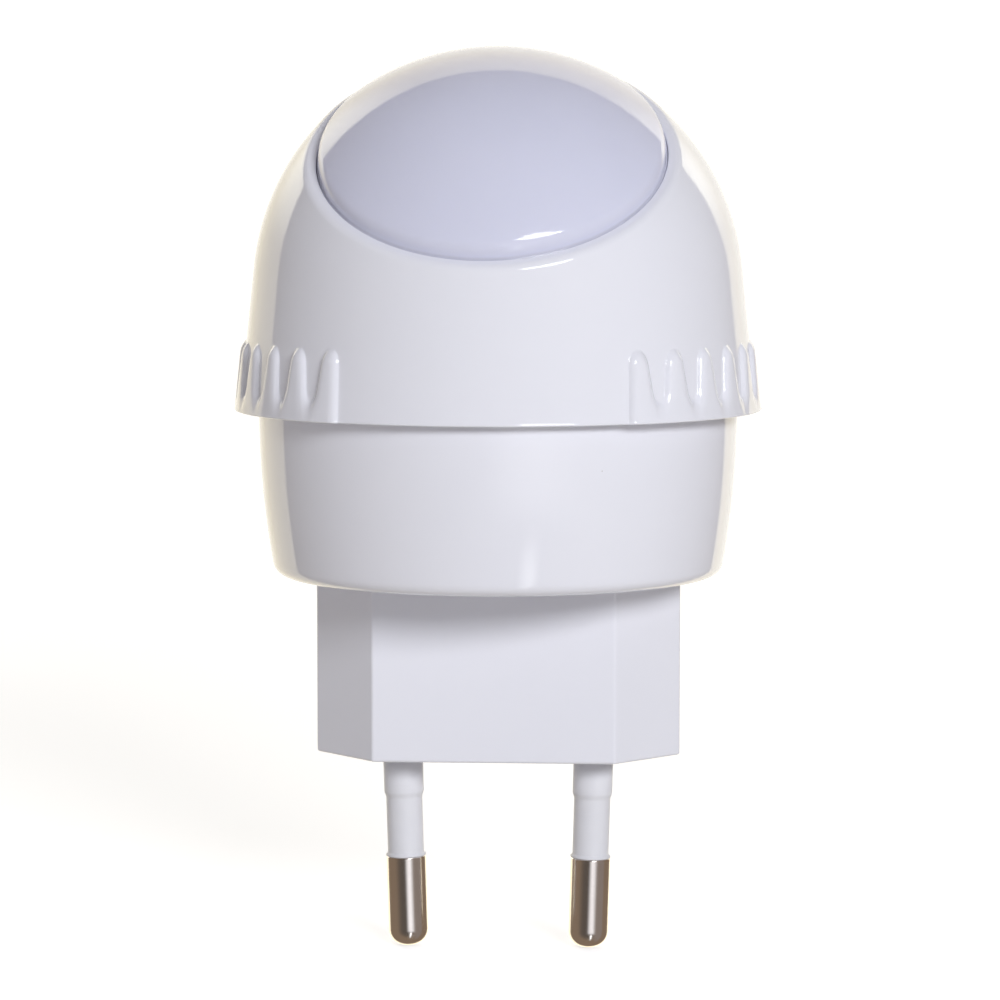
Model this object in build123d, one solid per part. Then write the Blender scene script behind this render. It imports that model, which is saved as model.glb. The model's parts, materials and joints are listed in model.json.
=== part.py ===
from build123d import *

import os
from math import atan2, cos, degrees, radians, sin, sqrt, tan

# Plug-in night light with a dusk sensor. All sizes are in millimetres and degrees.
# The origin is the centre of the plug's engagement face. +Z runs from the plug to the dome.
# The lens faces the front, which is -Y.

# Pins of the two-pin plug
pin_diameter = 4.0
pin_length = 19.0
pin_spacing_face = 18.6
pin_spacing_tip = 17.5
pin_tip_round = 1.3
pin_core_diameter = 2.6
pin_head_diameter = 5.6
pin_head_thickness = 1.2
pin_tail_diameter = 2.4
pin_tail_length = 2.0

# Insulating sleeves on the pins
sleeve_length = 10.3
sleeve_wall = 0.47
sleeve_depth = 1.5
sleeve_lip_step = 0.18
sleeve_lip_length = 0.3
collar_step = 0.38
collar_length = 4.2
collar_taper = 0.5

# Six-sided plug block and its flange
plug_end_margin = 8.35
plug_depth = 13.7
plug_corner = 6.0
plug_end_flat = 0.6
plug_edge_round = 0.4
plug_face_round = 0.3
plug_height = 17.65
plug_wall = 1.7
plug_floor = 4.0
flange_thickness = 1.6
flange_screw_circle = 13.0

# Bowl
housing_wall = 1.8
floor_thickness = 2.0
housing_taper = 1.52
housing_base_round = 1.45
least_round = 0.3
rim_height = 16.1

# Swivel neck at the top of the bowl, and the snap ring inside the dome
swivel_gap = 0.35
swivel_play = 0.25
neck_wall = 1.5
shoulder_rise = 1.45
snap_height = 1.4
snap_overlap = 0.55
bead_height = 1.9
bead_lead = 0.8

# Dome
dome_margin = 6.0
dome_draft = 6.0
dome_centre_height = 11.1
dome_wall = 1.5

# Grip ribs at the dome's rim
rib_count = 12
rib_pitch = 10.0
rib_height = 0.55
rib_top = 6.55
rib_base_radius = 2.6
rib_top_radius = 1.1
rib_round_share = 0.9
band_height = 1.0
band_lead = 0.35

# Lens, its opening in the dome, and the ring that holds it
opening_tilt = 34.2
lip_share = 0.668
lip_width = 1.06
lip_round = 1.0
lens_gap = 0.34
lens_inset = 0.07
lens_wall = 1.4
lens_edge_round = 0.35
lens_flange_width = 1.5
lens_flange_thickness = 1.0
seat_thickness = 1.8
retainer_thickness = 1.1
retainer_width = 2.8
collar_wall = 1.35

# Inner cover, boards and their fasteners
cover_drop = 0.9
cover_thickness = 1.6
boss_angle = 60.0
boss_radius = 2.5
boss_step = 1.2
boss_margin = 0.9
boss_pilot_depth = 8.0
tube_wall = 1.1
board_thickness = 1.6
board_edge_gap = 2.3
led_board_thickness = 1.2
led_screw_margin = 3.2
screw_diameter = 2.2
screw_head_diameter = 5.0
screw_head_height = 1.6
screw_length = 7.0
plug_screw_length = 2.6
plug_screw_head_diameter = 7.0
plug_screw_head_height = 1.4
led_screw_length = 3.6
slot_width = 0.8
slot_depth = 0.7
slot_turn = 25.0

# Parts on the boards
film_length = 13.0
film_depth = 6.0
film_height = 8.2
film_round = 0.6
can_diameter = 8.0
can_height = 8.4
can_groove = 0.4
can_groove_rise = 1.4
bridge_length = 4.7
bridge_depth = 3.9
bridge_height = 2.4
bridge_lead = 0.7
fuse_length = 6.5
fuse_diameter = 2.6
bleed_length = 3.6
bleed_diameter = 1.8
axial_lead = 0.7
axial_reach = 1.9
transistor_diameter = 4.6
transistor_height = 4.6
transistor_flat = 1.3
transistor_lead = 0.5
transistor_lift = 2.0
transistor_margin = 7.1
sensor_diameter = 3.0
sensor_length = 4.2
sensor_lead = 0.5
sensor_lead_pitch = 1.27
window_diameter = 5.0
window_crown = 0.4
window_flange = 0.8
led_length = 3.5
led_depth = 2.8
led_height = 0.8
led_circle = 7.5
led_count = 4
led_turn = 45.0
wire_diameter = 1.2
wire_pitch = 2.6
strip_width = 3.0
strip_thickness = 0.5
strip_foot = 5.0
tab_width = 1.6
tab_rise = 1.0

# Clearances
fit_gap = 0.1
slip_gap = 0.15
pin_fit = 0.05
part_gap = 0.4

# Main sizes worked out from the plug
plug_width = pin_spacing_face + 2 * plug_end_margin
dome_radius = plug_width / 2 + dome_margin
lip_distance = dome_radius * lip_share
lip_radius = sqrt(dome_radius**2 - lip_distance**2)
opening_radius = lip_radius - lip_width

# Heights worked out from the sizes above
floor_z = plug_height
floor_top = floor_z + floor_thickness
flange_top = floor_top + flange_thickness
rim_z = floor_z + rim_height
centre_z = rim_z + dome_centre_height
shoulder_z = rim_z + shoulder_rise
snap_bottom = shoulder_z + swivel_play
snap_top = snap_bottom + snap_height
bead_bottom = snap_top + swivel_play
neck_top = bead_bottom + bead_height
cover_top = neck_top - cover_drop
cover_bottom = cover_top - cover_thickness
tallest_part = max(film_height, can_height, transistor_lift + transistor_height)
board_top = cover_bottom - part_gap - tallest_part
board_bottom = board_top - board_thickness
led_board_top = cover_top + led_board_thickness
flange_reach = window_diameter / 2 + window_flange
sensor_z = shoulder_z - housing_wall - flange_reach - fit_gap

UP = (Align.CENTER, Align.CENTER, Align.MIN)


def dome_radius_at(z, inset=0.0):
    """Radius of the dome's drafted side at a height, moved inwards by inset."""
    draft = radians(dome_draft)
    return (dome_radius - inset - (z - centre_z) * sin(draft)) / cos(draft)


# Radii worked out from the dome's inside
housing_radius = dome_radius_at(rim_z, dome_wall) - swivel_gap
housing_base_radius = housing_radius - housing_taper
bead_radius = dome_radius_at(neck_top, dome_wall) - swivel_gap
snap_radius = bead_radius - snap_overlap
neck_radius = snap_radius - swivel_gap
neck_bore = neck_radius - neck_wall
cover_radius = neck_bore - slip_gap
boss_circle = neck_bore - boss_radius - boss_margin
board_radius = housing_radius - housing_wall - board_edge_gap
led_board_radius = boss_circle - screw_head_diameter / 2 - part_gap
led_screw_circle = led_board_radius - led_screw_margin
flange_radius = housing_base_radius - housing_wall - housing_base_round + part_gap

boss_places = [(sx * boss_circle * cos(radians(boss_angle)), sy * boss_circle * sin(radians(boss_angle)))
               for sx in (-1, 1) for sy in (-1, 1)]
plug_screw_places = [(0, -flange_screw_circle), (0, flange_screw_circle)]
led_screw_places = [(-led_screw_circle, 0), (led_screw_circle, 0)]


def disc(radius, bottom, top, place=(0, 0)):
    """Round block between two heights."""
    return Pos(place[0], place[1], bottom) * Cylinder(radius, top - bottom, align=UP)


def tube(outer, inner, bottom, top, place=(0, 0)):
    """Round wall between two heights."""
    return disc(outer, bottom, top, place) - disc(inner, bottom, top, place)


def block(length, depth, bottom, top, place=(0, 0)):
    """Square block between two heights."""
    return Pos(place[0], place[1], bottom) * Box(length, depth, top - bottom, align=UP)


def turned(outline):
    """Solid of revolution about Z from a closed outline of radius and height."""
    return revolve(Plane.XZ * make_face(outline), Axis.Z)


def rounded_at(shape, edge_radius, rounding):
    """Shape with its round edge of the given radius rounded off."""
    edges = shape.edges().filter_by(GeomType.CIRCLE)
    return fillet(edges.filter_by(lambda edge: abs(edge.radius - edge_radius) < pin_fit), rounding)


def joined(pieces):
    """One shape from a list of pieces."""
    whole = pieces[0]
    for piece in pieces[1:]:
        whole = whole + piece
    return whole


def screw(place, seat, length, head_diameter, head_height, turn):
    """Pan-head screw with its head's underside at seat and a plain shank."""
    head = disc(head_diameter / 2, seat, seat + head_height, place)
    head = fillet(head.edges().group_by(Axis.Z)[-1], head_height / 3)
    shank = disc(screw_diameter / 2 - pin_fit, seat - length, seat, place)
    slot = Box(2 * head_diameter, slot_width, slot_depth, align=(Align.CENTER, Align.CENTER, Align.MAX))
    return head + shank - Pos(place[0], place[1], seat + head_height) * Rot(0, 0, turn) * slot


def lead(points, bend, diameter):
    """Round wire along straight runs with one bend radius."""
    path = FilletPolyline(*points, radius=bend)
    return sweep(Plane(path @ 0, z_dir=path % 0) * Circle(diameter / 2), path=path)


# Pins and sleeves

pin_lean = degrees(atan2((pin_spacing_face - pin_spacing_tip) / 2, pin_length))
sleeve_bore = pin_core_diameter / 2 + pin_fit
sleeve_radius = sleeve_bore + sleeve_wall
collar_radius = sleeve_radius + collar_step
pin_head_seat = plug_floor + fit_gap


def at_pin(side):
    """Place of a pin whose axis leans towards the middle at its tip; side is -1 or 1."""
    return Pos(side * pin_spacing_face / 2, 0, 0) * Rot(0, side * pin_lean, 0)


def make_pin(side):
    tip = disc(pin_diameter / 2, -pin_length, -sleeve_length)
    tip = fillet(tip.edges().group_by(Axis.Z)[0], pin_tip_round)
    core = disc(pin_core_diameter / 2, -sleeve_length, pin_head_seat)
    head = disc(pin_head_diameter / 2, pin_head_seat, pin_head_seat + pin_head_thickness)
    tail_top = pin_head_seat + pin_head_thickness + pin_tail_length
    tail = disc(pin_tail_diameter / 2, pin_head_seat + pin_head_thickness, tail_top)
    return at_pin(side) * (tip + core + head + tail)


def make_sleeve(side):
    rim_radius = sleeve_radius + sleeve_lip_step
    outline = Polyline(
        (sleeve_bore, -sleeve_length),
        (rim_radius, -sleeve_length),
        (rim_radius, -sleeve_length + sleeve_lip_length),
        (sleeve_radius, -sleeve_length + sleeve_lip_length),
        (sleeve_radius, -collar_length - collar_taper),
        (collar_radius, -collar_length),
        (collar_radius, sleeve_depth),
        (sleeve_bore, sleeve_depth),
        close=True,
    )
    return at_pin(side) * turned(outline)


# Plug block

def plug_outline(inset=0.0):
    """Six-sided outline of the plug, moved inwards by inset."""
    x_end = plug_width / 2
    x_flat = x_end - plug_corner
    y_flat = plug_depth / 2
    y_end = plug_end_flat / 2
    face = make_face(Polyline(
        (x_end, -y_end), (x_end, y_end), (x_flat, y_flat), (-x_flat, y_flat),
        (-x_end, y_end), (-x_end, -y_end), (-x_flat, -y_flat), (x_flat, -y_flat),
        close=True,
    ))
    return offset(face, -inset, kind=Kind.INTERSECTION) if inset else face


def make_plug_body():
    body = extrude(plug_outline(), flange_top)
    body = fillet(body.edges().filter_by(Axis.Z), plug_edge_round)
    body = fillet(body.edges().group_by(Axis.Z)[0], plug_face_round)
    flange = disc(flange_radius, floor_top, flange_top)
    for place in boss_places:
        flange -= disc(boss_radius + boss_step + part_gap, floor_top, flange_top, place)
    for place in plug_screw_places:
        flange -= disc(boss_radius + fit_gap, floor_top, flange_top, place)
    body += flange
    body -= Pos(0, 0, plug_floor) * extrude(plug_outline(plug_wall), flange_top)
    sleeve_pocket = sleeve_depth + fit_gap
    for side in (-1, 1):
        body -= at_pin(side) * disc(sleeve_bore, -pin_length, pin_length)
        body -= at_pin(side) * disc(collar_radius + slip_gap, -plug_floor, sleeve_pocket)
    return body


def make_plug_screws():
    diameter = plug_screw_head_diameter
    return joined([
        screw(place, flange_top, plug_screw_length, diameter, plug_screw_head_height, slot_turn * index)
        for index, place in enumerate(plug_screw_places)
    ])


# Bowl

def bowl_radius_at(z, inset=0.0):
    """Radius of the bowl's bulging side at a height, moved inwards by inset."""
    side_height = rim_z - floor_z
    side_radius = (housing_taper**2 + side_height**2) / (2 * housing_taper)
    return housing_radius - inset - side_radius + sqrt(side_radius**2 - (rim_z - z)**2)


def bowl_shape(inset, bottom, top):
    """Solid bowl whose side bulges gently and stands upright at the dome's rim."""
    foot = bowl_radius_at(bottom, inset)
    side = TangentArc((housing_radius - inset, rim_z), (foot, bottom), tangent=(0, -1))
    outline = [
        Line((0, bottom), (foot, bottom)),
        side,
        Line((housing_radius - inset, rim_z), (housing_radius - inset, top)),
        Line((housing_radius - inset, top), (0, top)),
        Line((0, top), (0, bottom)),
    ]
    bowl = turned(outline)
    return fillet(bowl.edges().group_by(Axis.Z)[0], max(housing_base_round - inset / 2, least_round))


def make_lower_housing():
    neck = disc(neck_radius, rim_z, neck_top)
    bead = turned(Polyline(
        (0, bead_bottom),
        (bead_radius, bead_bottom),
        (bead_radius, neck_top - bead_lead),
        (neck_radius, neck_top),
        (0, neck_top),
        close=True,
    ))
    housing = bowl_shape(0, floor_z, shoulder_z) + neck + bead
    housing -= bowl_shape(housing_wall, floor_top, shoulder_z - housing_wall)
    housing -= disc(neck_bore, floor_top + housing_wall, neck_top)
    for place in boss_places:
        housing += disc(boss_radius + boss_step, floor_top, board_bottom, place)
        housing += disc(boss_radius, board_bottom, cover_bottom, place)
        housing -= disc(screw_diameter / 2, cover_bottom - boss_pilot_depth, cover_bottom, place)
    for place in plug_screw_places:
        housing += disc(boss_radius, floor_top, flange_top, place)
        housing -= disc(screw_diameter / 2, flange_top - plug_screw_length - part_gap, flange_top, place)
    plug_hole = offset(plug_outline(), fit_gap, kind=Kind.INTERSECTION)
    housing -= Pos(0, 0, floor_z) * extrude(plug_hole, floor_thickness)
    return housing - sensor_axis * disc(window_diameter / 2 + fit_gap, neck_bore - boss_radius, far)


# Dome

def dome_shape(inset, bottom):
    """Solid dome: a drafted side that runs into a ball, moved inwards by inset."""
    radius = dome_radius - inset
    draft = radians(dome_draft)
    middle = radians((dome_draft + 90) / 2)
    tangent = (radius * cos(draft), centre_z + radius * sin(draft))
    on_ball = (radius * cos(middle), centre_z + radius * sin(middle))
    outline = [
        Line((0, bottom), (dome_radius_at(bottom, inset), bottom)),
        Line((dome_radius_at(bottom, inset), bottom), tangent),
        ThreePointArc(tangent, on_ball, (0, centre_z + radius)),
        Line((0, centre_z + radius), (0, bottom)),
    ]
    return turned(outline)


def make_rib(bottom_angle, top_angle):
    """Tapered grip rib with a round top; angles are measured from the front."""
    top_centre = rib_top - rib_top_radius
    base_reach = dome_radius_at(rim_z) + rib_height - rib_base_radius
    top_reach = dome_radius_at(rim_z + top_centre) + rib_height - rib_top_radius
    turn = radians(top_angle - bottom_angle)
    low = Vector(base_reach, 0, rim_z)
    high = Vector(top_reach * cos(turn), top_reach * sin(turn), rim_z + top_centre)
    along = (high - low).normalized()
    slope = (rib_base_radius - rib_top_radius) / top_centre
    start_radius = rib_base_radius + slope * band_height
    end_radius = rib_top_radius - slope * rib_top_radius
    rib = Cone(start_radius, end_radius, (high - low).length + band_height + rib_top_radius, align=UP)
    rib = fillet(rib.edges().group_by(Axis.Z)[-1], end_radius * rib_round_share)
    placed = Plane(low - along * band_height, z_dir=along) * rib
    return Rot(0, 0, bottom_angle - 90) * placed


def make_grip():
    """Ribs and the low band that joins their feet, on both sides of the dome."""
    first = 90 - rib_pitch * (rib_count - 1) / 2
    end_shift = degrees(rib_base_radius - rib_top_radius) / 2 / dome_radius_at(rim_z)
    band_radius = dome_radius_at(rim_z) + rib_height
    inner = dome_radius_at(rim_z + band_height) - dome_wall / 2
    band_outline = Polyline(
        (inner, rim_z),
        (band_radius, rim_z),
        (band_radius - band_height * tan(radians(dome_draft)) / 2, rim_z + band_height - band_lead),
        (inner, rim_z + band_height + band_lead),
        close=True,
    )
    band = revolve(Plane.XZ * make_face(band_outline), Axis.Z, revolution_arc=rib_pitch * (rib_count - 1))
    pieces = []
    for half in (0, 180):
        pieces.append(Rot(0, 0, half + first - 90) * band)
        for index in range(rib_count):
            angle = first + index * rib_pitch + half
            lean = {0: end_shift, rib_count - 1: -end_shift}.get(index, 0)
            pieces.append(make_rib(angle + lean, angle))
    return pieces


tilted = Pos(0, 0, centre_z) * Rot(opening_tilt, 0, 0)
lens_side = opening_radius - lens_gap
flange_edge = lens_side + lens_flange_width
pocket_radius = flange_edge + slip_gap
seat_distance = lip_distance - seat_thickness
flange_bottom = seat_distance - lens_flange_thickness
retainer_bottom = flange_bottom - retainer_thickness
far = 2 * dome_radius


def make_swivel_dome():
    dome = dome_shape(0, rim_z) - tilted * disc(far, lip_distance, lip_distance + far)
    dome = rounded_at(dome, lip_radius, lip_round)
    for piece in make_grip():
        dome += piece
    dome -= disc(far, rim_z - far, rim_z)
    dome -= dome_shape(dome_wall, rim_z)
    snap = tube(dome_radius_at(snap_bottom) - dome_wall / 2, snap_radius, snap_bottom, snap_top)
    seat = tube(pocket_radius + collar_wall, opening_radius, retainer_bottom - slip_gap, lip_distance)
    seat = (tilted * seat) & dome_shape(dome_wall / 2, rim_z)
    dome = dome + snap + seat
    dome -= tilted * disc(pocket_radius, 0, seat_distance)
    return dome - tilted * disc(opening_radius, 0, far)


def make_diffuser_lens():
    radius = dome_radius - lens_inset
    inner = radius - lens_wall
    inner_side = lens_side - lens_wall
    edge = sqrt(radius**2 - lens_side**2)
    inner_edge = sqrt(inner**2 - inner_side**2)
    shell = turned([
        Line((0, 0), (lens_side, 0)),
        Line((lens_side, 0), (lens_side, edge)),
        ThreePointArc((lens_side, edge), on_arc(radius, lens_side, edge), (0, radius)),
        Line((0, radius), (0, 0)),
    ])
    rims = shell.edges().filter_by(lambda edge: edge.is_closed)
    shell = fillet(rims.sort_by(Axis.Z)[-1], lens_edge_round)
    hollow = turned([
        Line((0, 0), (inner_side, 0)),
        Line((inner_side, 0), (inner_side, inner_edge)),
        ThreePointArc((inner_side, inner_edge), on_arc(inner, inner_side, inner_edge), (0, inner)),
        Line((0, inner), (0, 0)),
    ])
    lens = shell + disc(flange_edge, 0, seat_distance) - hollow - disc(far, 0, flange_bottom)
    return tilted * lens


def on_arc(radius, side, height):
    """Point halfway along an arc about the ball's centre, from its edge to its crown."""
    middle = (atan2(height, side) + radians(90)) / 2
    return (radius * cos(middle), radius * sin(middle))


def make_lens_retainer():
    outer = pocket_radius - pin_fit
    return tilted * tube(outer, outer - retainer_width, retainer_bottom, flange_bottom)


# Inner cover and light source

def make_inner_cover():
    cover = disc(cover_radius, cover_bottom, cover_top)
    room = disc(cover_radius, board_top, cover_bottom)
    tube_radius = boss_radius + slip_gap + tube_wall
    for place in boss_places:
        cover += disc(tube_radius, board_top, cover_bottom, place) & room
    for place in led_screw_places:
        cover += disc(boss_radius, cover_top - led_screw_length - part_gap, cover_bottom, place)
    for place in boss_places:
        cover -= disc(boss_radius + slip_gap, board_top, cover_bottom, place)
        cover -= disc(screw_diameter / 2 + slip_gap, cover_bottom, cover_top, place)
    for place in led_screw_places:
        cover -= disc(screw_diameter / 2, cover_top - led_screw_length - part_gap, cover_top, place)
    wire_hole = SlotCenterToCenter(wire_pitch, wire_diameter + 2 * part_gap)
    return cover - Pos(0, wire_y, cover_bottom) * extrude(wire_hole, cover_thickness)


def make_cover_screws():
    return joined([
        screw(place, cover_top, screw_length, screw_head_diameter, screw_head_height, slot_turn * index)
        for index, place in enumerate(boss_places)
    ])


def make_led_board():
    board = disc(led_board_radius, cover_top, led_board_top)
    for place in led_screw_places:
        board -= disc(screw_diameter / 2 + slip_gap, cover_top, led_board_top, place)
    return board


def make_led_board_screws():
    length = led_screw_length + led_board_thickness
    return joined([
        screw(place, led_board_top, length, screw_head_diameter, screw_head_height, slot_turn * index)
        for index, place in enumerate(led_screw_places)
    ])


def make_leds():
    chips = []
    for index in range(led_count):
        turn = Rot(0, 0, led_turn + 360 * index / led_count)
        chip = block(led_length, led_depth, led_board_top, led_board_top + led_height, (led_circle, 0))
        chip = chamfer(chip.edges().group_by(Axis.Z)[-1], led_height / 4)
        chips.append(turn * chip)
    return joined(chips)


def make_led_wires():
    return joined([
        disc(wire_diameter / 2, board_top, cover_top, (side * wire_pitch / 2, wire_y)) for side in (-1, 1)
    ])


# Board and its parts, laid out from the fusible resistor on the middle line

film_y = -(fuse_diameter / 2 + part_gap + film_depth / 2)
wire_y = film_y - film_depth / 2 - part_gap - wire_diameter
can_y = fuse_diameter / 2 + part_gap + can_diameter / 2
bleed_x = (-(bleed_diameter + part_gap), 0)
can_x = bleed_x[1] + bleed_diameter / 2 + 2 * part_gap + can_diameter / 2
bridge_x = bleed_x[0] - bleed_diameter / 2 - 2 * part_gap - bridge_length / 2
bleed_y = fuse_diameter / 2 + part_gap + axial_reach + bleed_length / 2
transistor_x = transistor_margin - board_radius
tab_x = pin_spacing_face / 2


def make_main_board():
    board = disc(board_radius, board_bottom, board_top)
    hole_radius = boss_radius + slip_gap
    notch = Box(board_radius, 2 * hole_radius, board_thickness, align=(Align.MIN, Align.CENTER, Align.MIN))
    for place in boss_places:
        outwards = degrees(atan2(place[1], place[0]))
        board -= disc(hole_radius, board_bottom, board_top, place)
        board -= Pos(place[0], place[1], board_bottom) * Rot(0, 0, outwards) * notch
    slot_length = strip_thickness + 2 * fit_gap
    slot_depth_y = tab_width + 2 * fit_gap
    for side in (-1, 1):
        board -= block(slot_length, slot_depth_y, board_bottom, board_top, (side * tab_x, 0))
    return board


def make_contact_strip(side):
    """Brass strip riveted over the pin's tail, rising to a tab in the board."""
    foot_z = pin_head_seat + pin_head_thickness + fit_gap
    x = side * pin_spacing_face / 2
    foot_top = foot_z + strip_thickness
    foot = block(strip_foot, strip_foot, foot_z, foot_top, (x, 0))
    foot -= disc(pin_tail_diameter / 2 + slip_gap, foot_z - fit_gap, foot_top + fit_gap, (x, 0))
    edge_x = x - side * (strip_foot - strip_thickness) / 2
    shelf_bottom = board_bottom - strip_thickness
    blade = block(strip_thickness, strip_width, foot_z, shelf_bottom, (edge_x, 0))
    shelf_x = (edge_x + side * tab_x) / 2
    shelf_width = abs(side * tab_x - edge_x) + strip_thickness
    shelf = block(shelf_width, strip_width, shelf_bottom, board_bottom, (shelf_x, 0))
    tab = block(strip_thickness, tab_width, board_bottom, board_top + tab_rise, (side * tab_x, 0))
    return foot + blade + shelf + tab


def make_film_capacitor():
    body = block(film_length, film_depth, board_top, board_top + film_height, (0, film_y))
    return fillet(body.edges().filter_by(Axis.Z) + body.edges().group_by(Axis.Z)[-1], film_round)


def make_electrolytic_capacitor():
    place = (can_x, can_y)
    can = disc(can_diameter / 2, board_top, board_top + can_height, place)
    can = fillet(can.edges().group_by(Axis.Z)[-1], can_groove)
    groove_z = board_top + can_groove_rise
    return can - Pos(place[0], place[1], groove_z) * Torus(can_diameter / 2, can_groove)


def make_bridge_rectifier():
    low = board_top + bridge_lead / 2
    body = block(bridge_length, bridge_depth, low, low + bridge_height, (bridge_x, can_y))
    body = chamfer(body.edges().group_by(Axis.Z)[-1], bridge_lead / 2)
    leg_span = bridge_depth + 2 * bridge_lead
    legs = [
        block(bridge_lead, leg_span, board_top, low, (bridge_x + side * bridge_length / 4, can_y))
        for side in (-1, 1)
    ]
    return joined([body] + legs)


def make_axial(length, diameter, turn, place):
    """Lead-through resistor lying just over the board."""
    rise = diameter / 2 + part_gap
    reach = length / 2 + axial_reach - axial_lead
    body = Rot(0, 90, 0) * Cylinder(diameter / 2, length)
    body = fillet(body.edges(), diameter / 6)
    points = [(-reach, 0, -rise), (-reach, 0, 0), (reach, 0, 0), (reach, 0, -rise)]
    wire = lead(points, axial_lead, axial_lead)
    return Pos(place[0], place[1], board_top + rise) * Rot(0, 0, turn) * (body + wire)


def make_fusible_resistor():
    return make_axial(fuse_length, fuse_diameter, 0, (0, 0))


def make_bleed_resistors():
    return joined([make_axial(bleed_length, bleed_diameter, 90, (x, bleed_y)) for x in bleed_x])


def make_driver_transistor():
    low = board_top + transistor_lift
    high = low + transistor_height
    body = disc(transistor_diameter / 2, low, high, (transistor_x, film_y))
    flat_x = transistor_x + transistor_flat + transistor_diameter / 2
    body -= block(transistor_diameter, 2 * transistor_diameter, low, high, (flat_x, film_y))
    width = transistor_lead
    legs = [
        block(width, width, board_top, low, (transistor_x, film_y + step * sensor_lead_pitch))
        for step in (-1, 0, 1)
    ]
    return joined([body] + legs)


# Dusk sensor behind its window in the back of the bowl

sensor_axis = Pos(0, 0, sensor_z) * Rot(-90, 0, 0)
window_seat = sqrt(bowl_radius_at(sensor_z - flange_reach, housing_wall)**2 - flange_reach**2) - fit_gap
sensor_tip = window_seat - window_flange - part_gap


def make_light_sensor():
    crown = sensor_tip - sensor_diameter / 2
    base = sensor_tip - sensor_length
    body = disc(sensor_diameter / 2, base, crown) + Pos(0, 0, crown) * Sphere(sensor_diameter / 2)
    bend = 2 * sensor_lead
    foot_y = base - 3 * bend
    legs = [
        lead([(x, base, sensor_z), (x, foot_y, sensor_z), (x, foot_y, board_top)], bend, sensor_lead)
        for x in (-sensor_lead_pitch / 2, sensor_lead_pitch / 2)
    ]
    return joined([sensor_axis * body] + legs)


def make_sensor_window():
    """Clear plug with an inner flange and a crowned outer face."""
    face = bowl_radius_at(sensor_z) + window_crown
    plug = disc(window_diameter / 2, window_seat, face)
    plug = fillet(plug.edges().group_by(Axis.Z)[-1], window_crown)
    flange = disc(flange_reach, window_seat - window_flange, window_seat)
    return sensor_axis * (plug + flange)


def main():
    nodes = {
        "lower_housing": make_lower_housing(),
        "plug_body": make_plug_body(),
        "plug_screws": make_plug_screws(),
        "main_board": make_main_board(),
        "film_capacitor": make_film_capacitor(),
        "electrolytic_capacitor": make_electrolytic_capacitor(),
        "bridge_rectifier": make_bridge_rectifier(),
        "fusible_resistor": make_fusible_resistor(),
        "bleed_resistors": make_bleed_resistors(),
        "driver_transistor": make_driver_transistor(),
        "light_sensor": make_light_sensor(),
        "sensor_window": make_sensor_window(),
        "inner_cover": make_inner_cover(),
        "cover_screws": make_cover_screws(),
        "led_board": make_led_board(),
        "leds": make_leds(),
        "led_board_screws": make_led_board_screws(),
        "led_wires": make_led_wires(),
        "swivel_dome": make_swivel_dome(),
        "diffuser_lens": make_diffuser_lens(),
        "lens_retainer": make_lens_retainer(),
    }
    for name, side in (("left", -1), ("right", 1)):
        nodes[f"pin_{name}"] = make_pin(side)
        nodes[f"pin_sleeve_{name}"] = make_sleeve(side)
        nodes[f"contact_strip_{name}"] = make_contact_strip(side)
    os.makedirs("parts", exist_ok=True)
    for name, shape in nodes.items():
        export_step(shape, f"parts/{name}.step")


main()
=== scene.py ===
import json
from math import asin, atan2, cos, pi, radians, remainder, sin, sqrt

import bmesh
import bpy
from mathutils import Matrix, Vector


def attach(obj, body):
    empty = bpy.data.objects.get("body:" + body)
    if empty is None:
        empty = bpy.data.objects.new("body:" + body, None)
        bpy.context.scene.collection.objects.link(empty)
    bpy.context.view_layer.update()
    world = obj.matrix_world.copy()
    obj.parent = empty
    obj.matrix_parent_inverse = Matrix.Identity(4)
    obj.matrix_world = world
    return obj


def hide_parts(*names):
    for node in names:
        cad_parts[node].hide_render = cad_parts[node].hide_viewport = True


# Night light with a dusk sensor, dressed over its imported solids.
# Sizes are in millimetres, as in the part's source, and finished meshes are in metres.
# The lens faces -Y, the plug points down, and the dome swivels about Z.

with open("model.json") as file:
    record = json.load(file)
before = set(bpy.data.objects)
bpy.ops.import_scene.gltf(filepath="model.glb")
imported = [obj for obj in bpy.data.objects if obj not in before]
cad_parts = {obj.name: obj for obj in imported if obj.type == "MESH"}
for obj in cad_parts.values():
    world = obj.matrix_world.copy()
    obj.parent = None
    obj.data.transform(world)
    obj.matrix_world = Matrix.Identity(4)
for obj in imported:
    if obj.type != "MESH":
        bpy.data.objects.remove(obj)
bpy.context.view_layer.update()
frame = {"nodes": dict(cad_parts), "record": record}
slot_of = {row["node"]: row["material_slot"] for row in frame["record"]["subparts"]}

mm = 0.001

# Points closer than weld become one; points a guard away from an edge keep the face beside it flat
weld = 1e-5
guard = 0.1
wide_guard = 0.2

# Dome
dome_radius = 23.65
dome_draft = radians(5.85)
dome_wall = 1.5
ball_height = 44.85
rim_height = 33.6
rim_round = 0.12
rim_bead = 0.025
rim_bead_height = 0.26
rim_zone_top = 34.3
side_above_ribs = 0.5
dome_shoulder = 46.3
inner_side_top = 41.0
snap_low = 35.45
snap_high = 36.85
snap_radius = 21.98
inner_rim_step = 0.1
inner_rim_rise = 0.15

# Grip ribs on both sides; the end ribs have an upright edge beside the smooth panels
rib_count = 12
rib_pitch = radians(10.0)
rib_first = radians(35.5)
rib_radius = 24.6
rib_lift = 0.5
rib_top = 40.1
rib_middle = 37.8
rib_arch = 1.2
rib_half_top = 0.8
rib_half_foot = 1.72
end_half_top = 0.85
end_half_foot = 1.2
arch_power = 2.3
valley_floor = 35.2
valley_round = 1.3
flank_foot = 0.15
flank_width = 1.1
flank_power = 3.2
crease = 0.05
crease_reach = 4 * crease

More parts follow.
